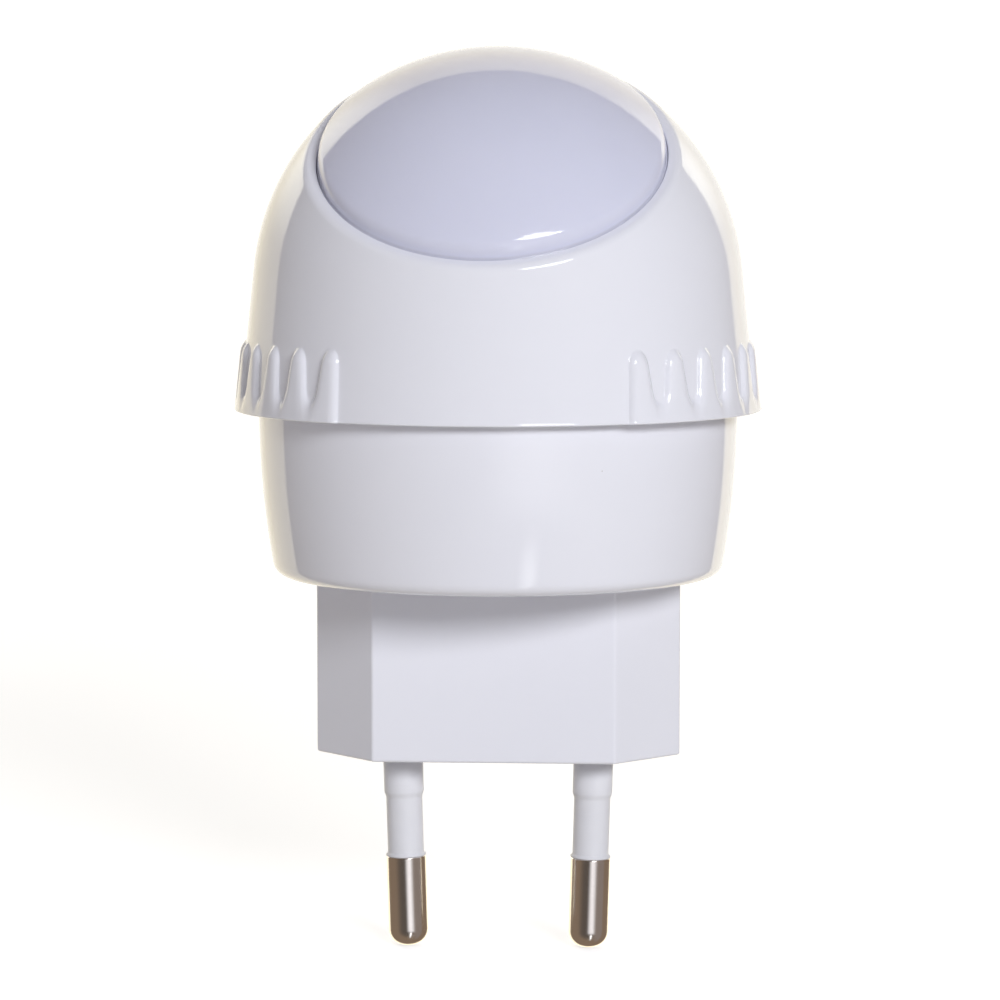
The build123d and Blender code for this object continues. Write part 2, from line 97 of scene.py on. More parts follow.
# Columns of the dome's grid: on a rib's face, about its edge, in a valley and on the smooth panels
face_shares = (0.25, 0.5)
edge_steps = (-0.3, -0.22, -0.15, -0.08, -0.01, 0.05, 0.1, 0.15, 0.22)
valley_shares = (0.35, 0.7)
panel_steps = (0.5, 1.0)
panel_divisions = 40

# Opening, lip and lens, measured along the opening's axis from the ball's centre
opening_tilt = radians(34.2)
opening_radius = 16.54
lip_distance = 15.8
lip_round = 1.0
bore_round = 0.12
bore_guard = 0.08
seat_distance = 14.0
pocket_radius = 17.85
pocket_bottom = 11.75
lens_ball = 23.575
lens_side = 16.36
lens_wall = 1.4
lens_round = 1.6
lens_step = 15.68
lens_step_radius = 16.48
lens_foot_top = 0.12
lens_foot_reach = 0.04
lens_foot_low = 0.03
flange_edge = 17.7
flange_bottom = 13.0

# Bowl and its neck
bowl_radius = 23.09
bowl_widest = 33.75
bowl_taper = 1.52
bowl_round = 1.45
bowl_wall = 1.8
bowl_inner_round = 0.7
floor_height = 17.65
floor_top = 19.65
floor_flat_margin = 0.5
floor_inner_edge = 18.4
shoulder_height = 35.2
shoulder_bevel = 0.2
neck_radius = 21.63
neck_bore = 20.13
bead_radius = 22.53
bead_low = 37.1
bead_slope = 0.8
neck_top = 39.0

# Plug block
plug_width = 35.3
plug_depth = 13.7
plug_corner = 6.0
plug_end_flat = 0.6
plug_corner_round = 0.17
plug_face_round = 0.3
plug_wall = 1.7
plug_floor = 4.0
plug_top = 21.25
hole_gap = 0.1
pin_hole_radius = 2.02
pin_hole_depth = 1.6

# Pins and sleeves, along each pin's own axis
pin_radius = 1.95
pin_length = 19.0
pin_tip_round = 1.6
pin_edge = 0.12
pin_core = 1.3
pin_head_radius = 2.8
pin_head_bottom = plug_floor + 0.1
pin_head_top = plug_floor + 1.3
pin_tail_radius = 1.2
pin_tail_top = plug_floor + 3.3
pin_spacing_face = 18.6
pin_spacing_tip = 17.5
sleeve_end = 10.15
sleeve_bore = 1.35
sleeve_radius = 1.76
sleeve_seat = 1.4
sleeve_edge = 0.08
sleeve_lip = 1.955
sleeve_lip_flat = 0.14
sleeve_lip_slope = 0.28
sleeve_lip_step = 0.03
sleeve_lip_end = 0.42
collar_radius = 1.93
collar_length = 3.75
collar_taper = 0.65
collar_guard = 0.15

# Sensor window
window_radius = 2.5
window_height = 30.0
window_reach = 23.34
window_edge = 0.4
window_seat = 20.6
window_flange_radius = 3.3
window_flange_thickness = 0.8

tilt_axis = Vector((0, -sin(opening_tilt), cos(opening_tilt)))
tilt_down = Vector((0, -cos(opening_tilt), -sin(opening_tilt)))
tilt_across = Vector((1, 0, 0))
ball_centre = Vector((0, 0, ball_height))


# Shader building


class Socket:
    """A shader value that Python's operators can work on."""

    def __init__(self, finish, output):
        self.finish = finish
        self.output = output

    def maths(self, operation, first, second):
        return self.finish.add("Math", {"operation": operation}, {0: first, 1: second})

    def __add__(self, other):
        return self.maths("ADD", self, other)

    def __radd__(self, other):
        return self.maths("ADD", other, self)

    def __sub__(self, other):
        return self.maths("SUBTRACT", self, other)

    def __rsub__(self, other):
        return self.maths("SUBTRACT", other, self)

    def __mul__(self, other):
        return self.maths("MULTIPLY", self, other)

    def __rmul__(self, other):
        return self.maths("MULTIPLY", other, self)

    def __gt__(self, other):
        return self.maths("GREATER_THAN", self, other)

    def __lt__(self, other):
        return self.maths("LESS_THAN", self, other)


class Finish:
    """The shader of a material or of the world, built node by node."""

    def __init__(self, owner):
        owner.use_nodes = True
        self.tree = owner.node_tree
        self.tree.nodes.clear()

    def add(self, kind, settings=None, inputs=None, output=0):
        """Adds a node, sets it up, joins its inputs and gives one of its outputs."""
        node = self.tree.nodes.new("ShaderNode" + kind)
        for name, value in (settings or {}).items():
            setattr(node, name, value)
        for name, value in (inputs or {}).items():
            if isinstance(value, Socket):
                self.tree.links.new(value.output, node.inputs[name])
            else:
                node.inputs[name].default_value = value
        return Socket(self, node.outputs[output])

    def place(self, stretch=(1, 1, 1)):
        """Object coordinates, stretched along the axes."""
        coordinates = self.add("TexCoord", output="Object")
        return self.add("Mapping", {"vector_type": "POINT"}, {"Vector": coordinates, "Scale": stretch})

    def axes(self, vector):
        """The three parts of a vector."""
        return [self.add("SeparateXYZ", inputs={"Vector": vector}, output=axis) for axis in "XYZ"]

    def step(self, value, low, high):
        """Smooth step of a value from 0 at low to 1 at high."""
        return self.add("MapRange", {"interpolation_type": "SMOOTHSTEP"}, {0: value, 1: low, 2: high})

    def noise(self, place, size, detail=2.0):
        """Soft noise whose patches are about as large as size, in millimetres."""
        scale = 1 / (size * mm)
        return self.add("TexNoise", inputs={"Vector": place, "Scale": scale, "Detail": detail})

    def blend(self, factor, first, second):
        """Colour that goes from first to second."""
        settings = {"data_type": "RGBA", "clamp_factor": True}
        return self.add("Mix", settings, {0: factor, 6: first, 7: second}, output=2)

    def bump(self, height, depth, strength=1.0):
        """Normal from a height, whose full range is depth millimetres."""
        return self.add("Bump", inputs={"Height": height, "Distance": depth * mm, "Strength": strength})

    def close(self, shader, kind="OutputMaterial"):
        """Ends the shader in its output node."""
        node = self.tree.nodes.new("ShaderNode" + kind)
        self.tree.links.new(shader.output, node.inputs["Surface"])


def new_finish(name):
    material = bpy.data.materials.new(name)
    return material, Finish(material)


def colour(red, green, blue):
    return (red, green, blue, 1.0)


# Finishes


def glossy_moulding(name, pale, deep, gloss, ripple):
    """Injection-moulded glossy plastic with faint flow marks, handling haze and a little dust."""
    material, finish = new_finish(name)
    place = finish.place()
    flow = finish.noise(place, size=14.0)
    haze = finish.noise(place, size=3.0, detail=4.0)
    base = finish.blend(flow, pale, deep)
    dust_spacing = 5.5 * mm
    speck_size = 0.014
    speck_rarity = 0.72
    dust_settings = {"feature": "F1"}
    dust_inputs = {"Vector": place, "Scale": 1 / dust_spacing, "Randomness": 1.0}
    dust_distance = finish.add("TexVoronoi", dust_settings, dust_inputs, output="Distance")
    dust_colour = finish.add("TexVoronoi", dust_settings, dust_inputs, output="Color")
    chance = finish.add("SeparateColor", inputs={"Color": dust_colour}, output="Red")
    speck = (dust_distance < speck_size) * (chance > speck_rarity)
    base = finish.blend(speck * 0.45, base, colour(0.22, 0.2, 0.18))
    roughness = gloss + 0.04 * haze + 0.3 * speck
    skin = finish.noise(place, size=1.1, detail=1.0)
    normal = finish.bump(skin, ripple)
    shader = finish.add("BsdfPrincipled", inputs={
        "Base Color": base, "Roughness": roughness, "Normal": normal, "IOR": 1.5,
    })
    finish.close(shader)
    return material


def opal_lens():
    """Milky, glossy lens that lets a little light into its wall."""
    material, finish = new_finish("opal_lens")
    place = finish.place()
    cloud = finish.noise(place, size=9.0, detail=2.0)
    haze = finish.noise(place, size=2.5, detail=4.0)
    base = finish.blend(cloud, colour(0.71, 0.73, 0.91), colour(0.68, 0.70, 0.88))
    along = {"operation": "DOT_PRODUCT"}
    from_lip = finish.add("VectorMath", along, {0: place, 1: tilt_axis}, output="Value")
    lip_place = tilt_axis.dot(ball_centre) + lip_distance
    # Painted shade: the lens is darkened below the lip's level, where it sits in the shaded gap between
    # lens and lip
    gap_shade = 1.0 - finish.step(from_lip, (lip_place - 0.1) * mm, (lip_place + 0.3) * mm)
    base = finish.blend(gap_shade * 0.3, base, colour(0.5, 0.49, 0.48))
    skin = finish.noise(place, size=1.6, detail=1.0)
    shader = finish.add("BsdfPrincipled", inputs={
        "Base Color": base, "Roughness": 0.05 + 0.04 * haze,
        "Normal": finish.bump(skin, depth=0.002), "IOR": 1.5,
        "Subsurface Weight": 0.35, "Subsurface Radius": (1.0, 1.0, 1.0), "Subsurface Scale": 2.2 * mm,
    })
    finish.close(shader)
    return material


def satin_sleeve():
    """Satin insulating plastic with fine rings from the mould."""
    material, finish = new_finish("satin_sleeve")
    place = finish.place()
    rings = finish.noise(finish.place(stretch=(0.06, 0.06, 1.0)), size=0.25, detail=2.0)
    haze = finish.noise(place, size=2.0, detail=3.0)
    base = finish.blend(haze, colour(0.775, 0.787, 0.85), colour(0.745, 0.757, 0.83))
    shader = finish.add("BsdfPrincipled", inputs={
        "Base Color": base, "Roughness": 0.38 + 0.1 * haze,
        "Normal": finish.bump(rings, depth=0.006), "IOR": 1.46,
    })
    finish.close(shader)
    return material


def drawn_metal(name, bright, dull, gloss, scratch):
    """Plated or rolled metal with fine lines along Z and patches of tarnish."""
    material, finish = new_finish(name)
    place = finish.place()
    lines = finish.noise(finish.place(stretch=(1.0, 1.0, 0.03)), size=0.12, detail=3.0)
    tarnish = finish.noise(place, size=3.5, detail=4.0)
    base = finish.blend(tarnish, bright, dull)
    shader = finish.add("BsdfPrincipled", inputs={
        "Base Color": base, "Metallic": 1.0, "Roughness": gloss + 0.1 * lines + 0.06 * tarnish,
        "Normal": finish.bump(lines, scratch),
    })
    finish.close(shader)
    return material


def plain_moulding(name, pale, deep, gloss, grain):
    """Moulded or lacquered part with a fine grain."""
    material, finish = new_finish(name)
    place = finish.place()
    mottle = finish.noise(place, size=1.5, detail=3.0)
    fine = finish.noise(place, size=0.25, detail=2.0)
    base = finish.blend(mottle, pale, deep)
    shader = finish.add("BsdfPrincipled", inputs={
        "Base Color": base, "Roughness": gloss + 0.12 * mottle,
        "Normal": finish.bump(fine, grain), "IOR": 1.5,
    })
    finish.close(shader)
    return material


def circuit_board():
    """Green solder mask over etched tracks."""
    material, finish = new_finish("circuit_board")
    place = finish.place()
    track_settings = {"feature": "DISTANCE_TO_EDGE"}
    track_inputs = {"Vector": place, "Scale": 1 / (4.0 * mm)}
    tracks = finish.add("TexVoronoi", track_settings, track_inputs) > 0.09
    weave = finish.noise(place, size=0.4, detail=2.0)
    base = finish.blend(tracks, colour(0.02, 0.10, 0.04), colour(0.05, 0.24, 0.09))
    shader = finish.add("BsdfPrincipled", inputs={
        "Base Color": base, "Roughness": 0.3 + 0.12 * weave,
        "Normal": finish.bump(tracks + 0.2 * weave, depth=0.03),
    })
    finish.close(shader)
    return material


def clear_resin():
    """Clear cast resin of the light sensor."""
    material, finish = new_finish("clear_resin")
    haze = finish.noise(finish.place(), size=0.8, detail=3.0)
    shader = finish.add("BsdfPrincipled", inputs={
        "Base Color": finish.blend(haze, colour(0.9, 0.93, 0.95), colour(0.82, 0.86, 0.9)),
        "Roughness": 0.04 + 0.05 * haze, "IOR": 1.53, "Transmission Weight": 0.85,
    })
    finish.close(shader)
    return material


finishes = {
    "shell_white": glossy_moulding(
        "white_shell", colour(0.84, 0.855, 0.945), colour(0.82, 0.835, 0.93), gloss=0.02, ripple=0.0006
    ),
    "lens_opal": opal_lens(),
    "sleeve_white": satin_sleeve(),
    "pin_nickel": drawn_metal(
        "nickel_plate", colour(0.92, 0.89, 0.87), colour(0.84, 0.81, 0.79), gloss=0.1, scratch=0.002
    ),
    "contact_brass": drawn_metal(
        "rolled_brass", colour(0.78, 0.58, 0.24), colour(0.62, 0.44, 0.18), gloss=0.25, scratch=0.004
    ),
    "screw_steel": drawn_metal(
        "zinc_plate", colour(0.62, 0.62, 0.64), colour(0.5, 0.5, 0.53), gloss=0.22, scratch=0.003
    ),
    "board_green": circuit_board(),
    "led_board_white": plain_moulding(
        "white_mask", colour(0.85, 0.85, 0.83), colour(0.8, 0.8, 0.78), gloss=0.4, grain=0.004
    ),
    "led_phosphor": plain_moulding(
        "phosphor_gel", colour(0.86, 0.72, 0.2), colour(0.8, 0.6, 0.12), gloss=0.2, grain=0.003
    ),
    "film_yellow": plain_moulding(
        "film_box", colour(0.75, 0.48, 0.07), colour(0.66, 0.4, 0.05), gloss=0.25, grain=0.004
    ),
    "can_black": plain_moulding(
        "can_wrap", colour(0.03, 0.03, 0.05), colour(0.05, 0.05, 0.07), gloss=0.25, grain=0.004
    ),
    "chip_black": plain_moulding(
        "chip_body", colour(0.02, 0.02, 0.02), colour(0.04, 0.04, 0.04), gloss=0.55, grain=0.01
    ),
    "resistor_tan": plain_moulding(
        "resistor_lacquer", colour(0.6, 0.4, 0.2), colour(0.5, 0.32, 0.15), gloss=0.35, grain=0.005
    ),
    "window_smoke": plain_moulding(
        "smoky_window", colour(0.02, 0.02, 0.025), colour(0.03, 0.03, 0.04), gloss=0.05, grain=0.0005
    ),
    "sensor_clear": clear_resin(),
    "wire_insulation": plain_moulding(
        "wire_jacket", colour(0.6, 0.05, 0.04), colour(0.5, 0.04, 0.03), gloss=0.4, grain=0.004
    ),
}


# Mesh building


def arc(centre, radius, start, end, steps):
    """Points of an arc in a section of radius and height, angles from the outward direction."""
    turns = [start + (end - start) * step / steps for step in range(steps + 1)]
    return [(centre[0] + radius * cos(turn), centre[1] + radius * sin(turn)) for turn in turns]


def spread(start, end, count):
    """Evenly spaced values from start to end, both included."""
    return [start + (end - start) * step / (count - 1) for step in range(count)]


def turned(section, steps):
    """Mesh turned about Z from an open section of radius and height."""
    bm = bmesh.new()
    line = [bm.verts.new((radius, 0, height)) for radius, height in section]
    edges = [bm.edges.new(pair) for pair in zip(line, line[1:])]
    spun = line + edges
    bmesh.ops.spin(bm, geom=spun, axis=(0, 0, 1), cent=(0, 0, 0), steps=steps, angle=2 * pi, use_merge=True)
    bmesh.ops.remove_doubles(bm, verts=bm.verts, dist=weld)
    bmesh.ops.recalc_face_normals(bm, faces=bm.faces)
    return bm


def wrapped(columns, rings):
    """Closed skin on a grid: each ring places a point for each column."""
    bm = bmesh.new()
    bmesh.ops.create_grid(bm, x_segments=len(columns), y_segments=len(rings), size=1)
    for vert in bm.verts:
        column = round((vert.co.x + 1) / 2 * len(columns)) % len(columns)
        ring = round((vert.co.y + 1) / 2 * len(rings)) % len(rings)
        vert.co = rings[ring](columns[column])
    bmesh.ops.remove_doubles(bm, verts=bm.verts, dist=weld)
    bmesh.ops.recalc_face_normals(bm, faces=bm.faces)
    return bm


def finished(name, bm, body, node, placing=Matrix()):
    """Puts a mesh made in millimetres into the scene in place of a node."""
    bmesh.ops.transform(bm, matrix=Matrix.Scale(mm, 4) @ placing, verts=bm.verts)
    mesh = bpy.data.meshes.new(name)
    bm.to_mesh(mesh)
    bm.free()
    mesh.shade_smooth()
    mesh.materials.append(finishes[slot_of[node]])
    made = bpy.data.objects.new(name, mesh)
    bpy.context.scene.collection.objects.link(made)
    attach(made, body)
    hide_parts(node)
    return made


# Dome


def side_radius(height, inset=0.0):
    """Radius of the dome's drafted side, moved inwards by inset."""
    return (dome_radius - inset - (height - ball_height) * sin(dome_draft)) / cos(dome_draft)


def part_way(height):
    """Share of the way down from the ribs' tops to the rim."""
    return min(max((rib_top - height) / (rib_top - rim_height), 0), 1)


def mixed(top, foot, height):
    return top + (foot - top) * part_way(height)


def rib_depth(turn, height):
    """How far a place is inside the outline of the raised grip; it is negative in the valleys."""
    index = min(max(round((turn - rib_first) / rib_pitch), 0), rib_count - 1)
    across = (turn - rib_first - index * rib_pitch) * rib_radius
    beside_panel = (index == 0 and across < 0) or (index == rib_count - 1 and across > 0)
    if beside_panel:
        half = mixed(end_half_top, end_half_foot, height)
    else:
        half = mixed(rib_half_top, rib_half_foot, height)
    if beside_panel or height > rib_middle:
        over = max(0, (height - rib_top + rib_arch) / rib_arch)
        outline = ((abs(across) / half) ** arch_power + over**arch_power) ** (1 / arch_power)
        return (1 - outline) * half
    half_pitch = rib_pitch * rib_radius / 2
    valley = half_pitch - half
    under = max(0, (valley_floor + valley_round - height) / valley_round)
    aside = max(0, half_pitch - abs(across)) / valley
    outline = (aside**arch_power + under**arch_power) ** (1 / arch_power)
    return (outline - 1) * valley


def rib_rise(angle, height):
    """How far the grip stands out of the dome's side: steep at the foot, rounded at the crest."""
    share = (rib_depth(abs(remainder(angle, 2 * pi)), height) + flank_foot) / flank_width
    if share < 0:
        rise = rib_lift * flank_power * share
    else:
        rise = rib_lift * (1 - (1 - min(share, 1)) ** flank_power)
    blended = (rise + sqrt(rise**2 + crease**2)) / 2
    return blended if rise > -crease_reach else 0


def across_rib(half):
    """Places of the grid's columns on a rib's flank, out from its crest, for a half width."""
    return [half * share for share in face_shares] + [half + step for step in edge_steps]


def rib_columns():
    """Angles of the grid's columns, at the ribs' tops and at the rim, once round the dome."""
    half_pitch = rib_pitch * rib_radius / 2
    flank = list(zip(across_rib(rib_half_top), across_rib(rib_half_foot)))
    foot_line = flank[-1]
    for share in valley_shares:
        flank.append(tuple(last + (half_pitch - last) * share for last in foot_line))
    end_flank = list(zip(across_rib(end_half_top), across_rib(end_half_foot)))
    end_flank += [(end_half_top + step, end_half_foot + step) for step in panel_steps]
    inwards = list(reversed(end_flank))
    side = [(rib_first - top / rib_radius, rib_first - foot / rib_radius) for top, foot in inwards]
    for index in range(rib_count):
        middle = rib_first + index * rib_pitch
        side.append((middle, middle))
        if index < rib_count - 1:
            after = middle + rib_pitch
            side += [(middle + top / rib_radius, middle + foot / rib_radius) for top, foot in flank]
            side.append((middle + rib_pitch / 2, middle + rib_pitch / 2))
            side += [(after - top / rib_radius, after - foot / rib_radius) for top, foot in reversed(flank)]
    back_end = rib_first + (rib_count - 1) * rib_pitch
    side += [(back_end + top / rib_radius, back_end + foot / rib_radius) for top, foot in end_flank]
    other_side = [(2 * pi - top, 2 * pi - foot) for top, foot in reversed(side)]
    first_again = (2 * pi + side[0][0], 2 * pi + side[0][1])
    back_panel = panel_columns(side[-1], other_side[0])
    front_panel = panel_columns(other_side[-1], first_again)
    return side + back_panel + other_side + front_panel


def panel_columns(start, end):
    """Columns of a smooth panel between two rib columns."""
    shares = [step / panel_divisions for step in range(1, panel_divisions)]
    return [tuple(low + (high - low) * share for low, high in zip(start, end)) for share in shares]


def bead_at(height):
    """Fine bead that the mould leaves along the rim."""
    share = min((height - rim_height) / rim_bead_height, 1)
    return rim_bead * sin(pi * share) ** 2


def angle_at(column, height):
    return mixed(column[0], column[1], height)


def level_ring(radius, height):
    """Ring about the swivel axis."""
    def point(column):
        angle = angle_at(column, height)
        return Vector((radius * sin(angle), -radius * cos(angle), height))
    return point


def grip_ring(height, inset):
    """Ring on the outside of the dome's side, with the ribs."""
    def point(column):
        angle = angle_at(column, height)
        radius = side_radius(height) + rib_rise(angle, height) - inset
        return Vector((radius * sin(angle), -radius * cos(angle), height))
    return point


def tilted_point(radius, angle, distance):
    return ball_centre + tilt_axis * distance + (tilt_across * sin(angle) + tilt_down * cos(angle)) * radius


def tilted_ring(radius, distance):
    """Ring about the opening's axis."""
    def point(column):
        return tilted_point(radius, column[0], distance)
    return point


def skin_ring(share, low, tilted, inset):
    """Ring part of the way over the dome, from a level ring to a tilted one."""
    def point(column):
        angle = column[0]
        radius = side_radius(low, inset)
        start = Vector((radius * sin(angle), -radius * cos(angle), low)) - ball_centre
        end = tilted_point(tilted[0], angle, tilted[1]) - ball_centre
        towards = start.normalized().slerp(end.normalized(), share)
        rise = asin(towards.z)
        reach = (dome_radius - inset) / cos(max(0, dome_draft - rise))
        return ball_centre + towards * reach
    return point


def make_dome():
    rings = []
    for turn in spread(-pi / 2, 0, count=6):
        height = rim_height + rim_round * (1 + sin(turn))
        rings.append(grip_ring(height, rim_round * (1 - cos(turn)) - bead_at(height)))
    rim_top = rim_height + rim_round
    rings += [grip_ring(height, -bead_at(height)) for height in spread(rim_top, rim_zone_top, count=9)[1:]]
    valley_top = valley_floor + valley_round
    arch_foot = rib_top - rib_arch
    side_top = rib_top + side_above_ribs
    levels = spread(rim_zone_top, valley_top, count=17)[1:]
    levels += spread(valley_top, arch_foot, count=12)[1:]
    levels += spread(arch_foot, side_top, count=24)[1:]
    levels += spread(side_top, dome_shoulder, count=7)[1:]
    rings += [grip_ring(height, 0) for height in levels]

    fillet_height = lip_distance - lip_round
    fillet_radius = sqrt((dome_radius - lip_round) ** 2 - fillet_height**2)
    start = atan2(fillet_height, fillet_radius)
    lip = arc((fillet_radius, fillet_height), lip_round, start, pi / 2, steps=9)
    rings += [skin_ring(share, dome_shoulder, lip[0], 0) for share in spread(0, 1, count=27)[1:]]
    rings += [tilted_ring(*place) for place in lip[1:]]
    bore_corner = (opening_radius + bore_round, lip_distance - bore_round)
    rings.append(tilted_ring(fillet_radius - guard, lip_distance))
    rings.append(tilted_ring(bore_corner[0] + bore_guard, lip_distance))
    rings += [tilted_ring(*place) for place in arc(bore_corner, bore_round, pi / 2, pi, steps=4)]

    inner_ball = dome_radius - dome_wall
    collar_edge = (sqrt(inner_ball**2 - pocket_bottom**2), pocket_bottom)
    inside = [
        (opening_radius, seat_distance + guard), (opening_radius, seat_distance),
        (opening_radius + guard, seat_distance), (pocket_radius, seat_distance),
        (pocket_radius, pocket_bottom), collar_edge,
    ]
    rings += [tilted_ring(*place) for place in inside]
    shares = spread(0, 1, count=7)[1:]
    rings += [skin_ring(1 - share, inner_side_top, collar_edge, dome_wall) for share in shares]
    inner_rim = side_radius(rim_height, dome_wall)
    wall_places = [
        (side_radius(snap_high, dome_wall), snap_high), (snap_radius, snap_high),
        (snap_radius, snap_low), (side_radius(snap_low, dome_wall), snap_low),
        (inner_rim, rim_height + inner_rim_rise), (inner_rim + inner_rim_step, rim_height),
    ]
    rings += [level_ring(*place) for place in wall_places]
    return finished("dome_shell", wrapped(rib_columns(), rings), "head", "swivel_dome")


# Lens


def make_lens():
    round_radius = lens_side - lens_round
    round_height = sqrt((lens_ball - lens_round) ** 2 - round_radius**2)
    start = atan2(round_height, round_radius)
    inner = lens_ball - lens_wall
    inner_side = lens_side - lens_wall
    inner_start = atan2(sqrt(inner**2 - inner_side**2), inner_side)
    section = arc((0, 0), lens_ball, pi / 2, start, steps=44)
    section += arc((round_radius, round_height), lens_round, start, 0, steps=16)[1:]
    section += [(lens_side, lens_step + lens_foot_top)]
    section += [(lens_side + lens_foot_reach, lens_step + lens_foot_low)]
    section += [(lens_step_radius, lens_step)]
    section += [(lens_step_radius, seat_distance), (flange_edge, seat_distance)]
    section += [(flange_edge, flange_bottom), (inner_side, flange_bottom)]
    section += arc((0, 0), inner, inner_start, pi / 2, steps=24)
    section[0] = (0, lens_ball)
    section[-1] = (0, inner)
    placing = Matrix.Translation(ball_centre) @ Matrix.Rotation(opening_tilt, 4, "X")
    return finished("lens_cap", turned(section, steps=192), "head", "diffuser_lens", placing)


# Plug outline, shared by the plug block and its hole in the bowl


def plug_loop(bm, grow, height):
    """Six-sided face with rounded corners and narrow ends."""
    x_end = plug_width / 2 + grow
    x_flat = plug_width / 2 - plug_corner + grow / 2
    y_flat = plug_depth / 2 + grow
    y_end = plug_end_flat / 2 + grow / 2
    corners = [
        (x_end, -y_end), (x_end, y_end), (x_flat, y_flat), (-x_flat, y_flat),
        (-x_end, y_end), (-x_end, -y_end), (-x_flat, -y_flat), (x_flat, -y_flat),
    ]
    face = bm.faces.new([bm.verts.new((x, y, height)) for x, y in corners])
    bmesh.ops.bevel(
        bm, geom=face.verts[:], offset=plug_corner_round,
        affect="VERTICES", segments=5, profile=0.5, material=-1,
    )
    return max(bm.faces, key=lambda each: len(each.verts))


def lift(bm, geometry, rise):
    """Moves the points of newly extruded geometry up by rise."""
    verts = [item for item in geometry if isinstance(item, bmesh.types.BMVert)]
    bmesh.ops.translate(bm, verts=verts, vec=(0, 0, rise))


def make_plug_block():
    bm = bmesh.new()
    face = plug_loop(bm, 0, 0)
    lift(bm, bmesh.ops.extrude_face_region(bm, geom=[face])["geom"], plug_top)
    bmesh.ops.recalc_face_normals(bm, faces=bm.faces)
    under = min(bm.faces, key=lambda each: each.calc_center_median().z)
    bmesh.ops.bevel(
        bm, geom=under.edges[:], offset=plug_face_round,
        affect="EDGES", segments=4, profile=0.5, material=-1,
    )
    top = max(bm.faces, key=lambda each: each.calc_center_median().z)
    bmesh.ops.inset_region(bm, faces=[top], thickness=plug_wall, use_even_offset=True)
    lift(bm, bmesh.ops.extrude_face_region(bm, geom=[top])["geom"], plug_floor - plug_top)
    bmesh.ops.delete(bm, geom=[top], context="FACES_ONLY")
    under = min(bm.faces, key=lambda each: each.calc_center_median().z)
    loop = under.edges[:]
    bmesh.ops.delete(bm, geom=[under], context="FACES_ONLY")
    for side in (-1, 1):
        place = Matrix.Translation((side * pin_spacing_face / 2, 0, 0))
        ring = bmesh.ops.create_circle(bm, segments=48, radius=pin_hole_radius, matrix=place)["verts"]
        ring_edges = list({edge for vert in ring for edge in vert.link_edges})
        loop += ring_edges
        lift(bm, bmesh.ops.extrude_edge_only(bm, edges=ring_edges)["geom"], pin_hole_depth)
        for edge in ring_edges:
            edge.smooth = False
    bmesh.ops.triangle_fill(bm, edges=loop, use_beauty=True, normal=(0, 0, -1))
    bmesh.ops.recalc_face_normals(bm, faces=bm.faces)
    block = finished("plug_block", bm, "base", "plug_body")
    block.modifiers.new("flat_faces", "WEIGHTED_NORMAL").keep_sharp = True
    return block


# Bowl


def bowl_bulge():
    """Radius of the arc that the bowl's side follows."""
    side_height = bowl_widest - floor_height
    return (bowl_taper**2 + side_height**2) / (2 * bowl_taper)


def bowl_side(inset, low, steps):
    """Gently bulging side of the bowl, upwards, from a height to the rim."""
    bulge = bowl_bulge()
    centre = (bowl_radius - bulge, bowl_widest)
    start = -asin((bowl_widest - low) / (bulge - inset))
    return arc(centre, bulge - inset, start, 0, steps)


def bowl_foot():
    """Rounded bottom edge of the bowl, from its flat floor to its side."""
    bulge = bowl_bulge()
    round_height = floor_height + bowl_round
    drop = bowl_widest - round_height
    round_radius = bowl_radius - bulge + sqrt((bulge - bowl_round) ** 2 - drop**2)
    end = -asin(drop / (bulge - bowl_round))
    return arc((round_radius, round_height), bowl_round, -pi / 2, end, steps=10)


def make_bowl():
    foot = bowl_foot()
    section = [(foot[0][0] - floor_flat_margin, floor_height)] + foot
    section += bowl_side(0, foot[-1][1], steps=26)[1:]
    section += [
        (bowl_radius, shoulder_height - shoulder_bevel), (bowl_radius - shoulder_bevel, shoulder_height),
        (neck_radius, shoulder_height), (neck_radius, bead_low), (bead_radius, bead_low),
        (bead_radius, neck_top - bead_slope), (neck_radius, neck_top),
        (neck_bore, neck_top), (neck_bore, shoulder_height - bowl_wall),
    ]
    inner_side = bowl_side(bowl_wall, floor_top + bowl_inner_round, steps=10)
    section += reversed(inner_side)
    section += [(inner_side[0][0] - bowl_inner_round, floor_top), (floor_inner_edge, floor_top)]
    bm = turned(section, steps=224)
    walls = []
    for height in (floor_height, floor_top):
        rim = [edge for edge in bm.edges if edge.is_boundary and abs(edge.verts[0].co.z - height) < 0.01]
        face = plug_loop(bm, hole_gap, height)
        hole = face.edges[:]
        bmesh.ops.delete(bm, geom=[face], context="FACES_ONLY")
        for edge in hole:
            edge.smooth = False
        bmesh.ops.triangle_fill(bm, edges=rim + hole, use_beauty=True, normal=(0, 0, 1))
        walls += hole
    bmesh.ops.bridge_loops(bm, edges=walls)
    bmesh.ops.recalc_face_normals(bm, faces=bm.faces)
    return finished("bowl_shell", bm, "base", "lower_housing")


# Pins, sleeves and sensor window


def pin_place(side):
    """Pins lean towards each other at their tips."""
    lean = atan2((pin_spacing_face - pin_spacing_tip) / 2, pin_length)
    return Matrix.Translation((side * pin_spacing_face / 2, 0, 0)) @ Matrix.Rotation(side * lean, 4, "Y")


def make_pin(name, side):
    section = [(0, -pin_length)]
    tip_top = -pin_length + pin_tip_round
    section += arc((pin_radius - pin_tip_round, tip_top), pin_tip_round, -pi / 2, 0, steps=12)
    section += [(pin_radius, tip_top + wide_guard), (pin_radius, -sleeve_end - pin_edge - guard)]
    section += arc((pin_radius - pin_edge, -sleeve_end - pin_edge), pin_edge, 0, pi / 2, steps=4)
    section += [(pin_core, -sleeve_end), (pin_core, pin_head_bottom), (pin_head_radius, pin_head_bottom)]
    section += [(pin_head_radius, pin_head_top), (pin_tail_radius, pin_head_top)]
    section += [(pin_tail_radius, pin_tail_top), (0, pin_tail_top)]
    return finished("plug_pin_" + name, turned(section, steps=72), "base", "pin_" + name, pin_place(side))


